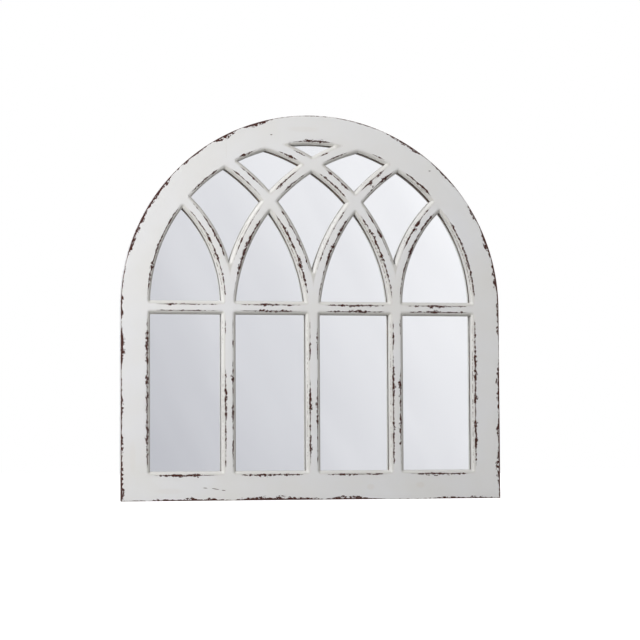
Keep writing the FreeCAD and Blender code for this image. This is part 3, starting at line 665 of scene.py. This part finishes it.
# %% The world, by kind of ray
world = bpy.data.worlds.new("studio")
bpy.context.scene.world = world
world.use_nodes = True
tree = world.node_tree
tree.nodes.clear()
direction = add(tree, "TexCoord", out="Generated")
sideways = add(tree, "SeparateXYZ", (direction,), out="X")
upward = add(tree, "SeparateXYZ", (direction,), out="Z")
SHARE_SIDEWAYS = 0.57         # how much of the change of the room is from left to right
STREAKS = 0.06                # soft folds of a curtain or sheet, hardly brighter than their gaps
FOLDS_LEAN = math.radians(-28)
FOLD_SIZE = (1 / 60, 1 / 60, 1 / 8)   # across and along the folds, in directions
from_left = add(tree, "MapRange", (sideways, 0.12, 0.27, 0.0, SHARE_SIDEWAYS), clamp=False)
from_below = add(tree, "MapRange", (upward, -0.01, 0.14, 0.0, 1 - SHARE_SIDEWAYS), clamp=False)
folds = add(tree, "Mapping", {"Vector": direction, "Rotation": (0.0, FOLDS_LEAN, 0.0),
                              "Scale": FOLD_SIZE}, vector_type="TEXTURE")
streaks = add(tree, "TexNoise", {"Vector": folds, "Scale": 1.0, "Detail": 3.0,
                                 "Roughness": 0.6}, out="Fac")
uneven = add(tree, "MapRange", (streaks, 0.3, 0.7, -STREAKS, STREAKS))
brighter = add(tree, "Math", (from_left, from_below), operation="ADD")
brighter = add(tree, "Math", (brighter, uneven), operation="ADD", use_clamp=True)
room = add(tree, "Mix", {0: brighter, 6: linear("#BFBFC8"), 7: linear("#FAF9FF")}, out=2,
           data_type="RGBA")
ROOM_LEVEL = 1.09
AMBIENT = 0.31
in_mirror = add(tree, "Background", (room, ROOM_LEVEL))
on_frame = add(tree, "Background", ((1.0, 1.0, 1.0, 1.0), AMBIENT))
behind = add(tree, "Background", ((1.0, 1.0, 1.0, 1.0), 1.0))
ray = {kind: add(tree, "LightPath", out=f"Is {kind} Ray")
       for kind in ("Camera", "Glossy", "Transmission")}
reflected = add(tree, "Math", (ray["Glossy"], ray["Transmission"]), operation="MAXIMUM")
# light that has left the timber and then meets the mirror finds the plain level, not the room
by_way_of_frame = add(tree, "LightPath", out="Diffuse Depth")
mirrored = add(tree, "Math", (reflected, by_way_of_frame), operation="SUBTRACT", use_clamp=True)
seen = add(tree, "MixShader", (mirrored, on_frame, in_mirror))
add(tree, "OutputWorld", (add(tree, "MixShader", (ray["Camera"], seen, behind)),))
print("world: ambient", AMBIENT, "room level", ROOM_LEVEL)

# %% [markdown]
# ## Lamps and floor
# One lamp above and in front lights the sides of the mouldings that look up, and one near the
# left lights those that look left and lets the face fade to the right. The other sides stay
# in soft shade, which is what makes the profile readable. A third lamp lights the back, which
# the photograph doesn't show. The floor is white paper that keeps the shadow.

# %% Soft lamps above, at the left and behind
LAMPS = {
    # direction from the middle, distance, width and height, power in watts
    "soft_above": (Vector((-0.5, -0.6, 0.6)), 4.5, (1.2, 1.2), 90),
    "soft_left": (Vector((-0.85, -0.5, 0.25)), 2.5, (1.0, 1.0), 24.5),
    "soft_behind": (Vector((0.3, 0.85, 0.45)), 4.0, (2.0, 2.0), 95),
}
MIDDLE = Vector((0, 0, -0.2))
for name, (direction, distance, (wide, tall), watts) in LAMPS.items():
    lamp_data = bpy.data.lights.new(name, "AREA")
    lamp_data.shape = "RECTANGLE"
    lamp_data.size = wide
    lamp_data.size_y = tall
    lamp_data.energy = watts
    lamp = bpy.data.objects.new(name, lamp_data)
    towards = (-direction).to_track_quat("-Z", "Y").to_matrix().to_4x4()
    lamp.matrix_world = Matrix.Translation(MIDDLE + direction.normalized() * distance) @ towards
    bpy.context.collection.objects.link(lamp)
    print(name, [round(v, 2) for v in lamp.matrix_world.translation])

# %% White paper floor
FLOOR_HALF = 5.0
floor_mesh = bpy.data.meshes.new("floor")
corners = [(-1, -1), (1, -1), (1, 1), (-1, 1)]
floor_mesh.from_pydata([(FLOOR_HALF * x, FLOOR_HALF * y, loaded_box[0][2]) for x, y in corners],
                       [], [(0, 1, 2, 3)])
floor = bpy.data.objects.new("floor", floor_mesh)
bpy.context.collection.objects.link(floor)
paper, tree = new_material("white_paper")
matte = add(tree, "BsdfDiffuse", (linear("#BEBEBE"),))
PAPER_LIFT = 0.83             # brings lit paper to white for the camera, and leaves the shadow
LIFT_IN_MIRROR = 0.3          # the same for the floor as the mirror shows it
direct = add(tree, "LightPath", out="Is Camera Ray")
through_glass = add(tree, "LightPath", out="Is Transmission Ray")
lifted = add(tree, "Math", (direct, PAPER_LIFT), operation="MULTIPLY")
lifted = add(tree, "Math", (through_glass, LIFT_IN_MIRROR, lifted), operation="MULTIPLY_ADD")
lift = add(tree, "Emission", ((1.0, 1.0, 1.0, 1.0), lifted))
add(tree, "OutputMaterial", (add(tree, "AddShader", (matte, lift)),))
floor_mesh.materials.append(paper)
print("floor at", round(loaded_box[0][2], 4))
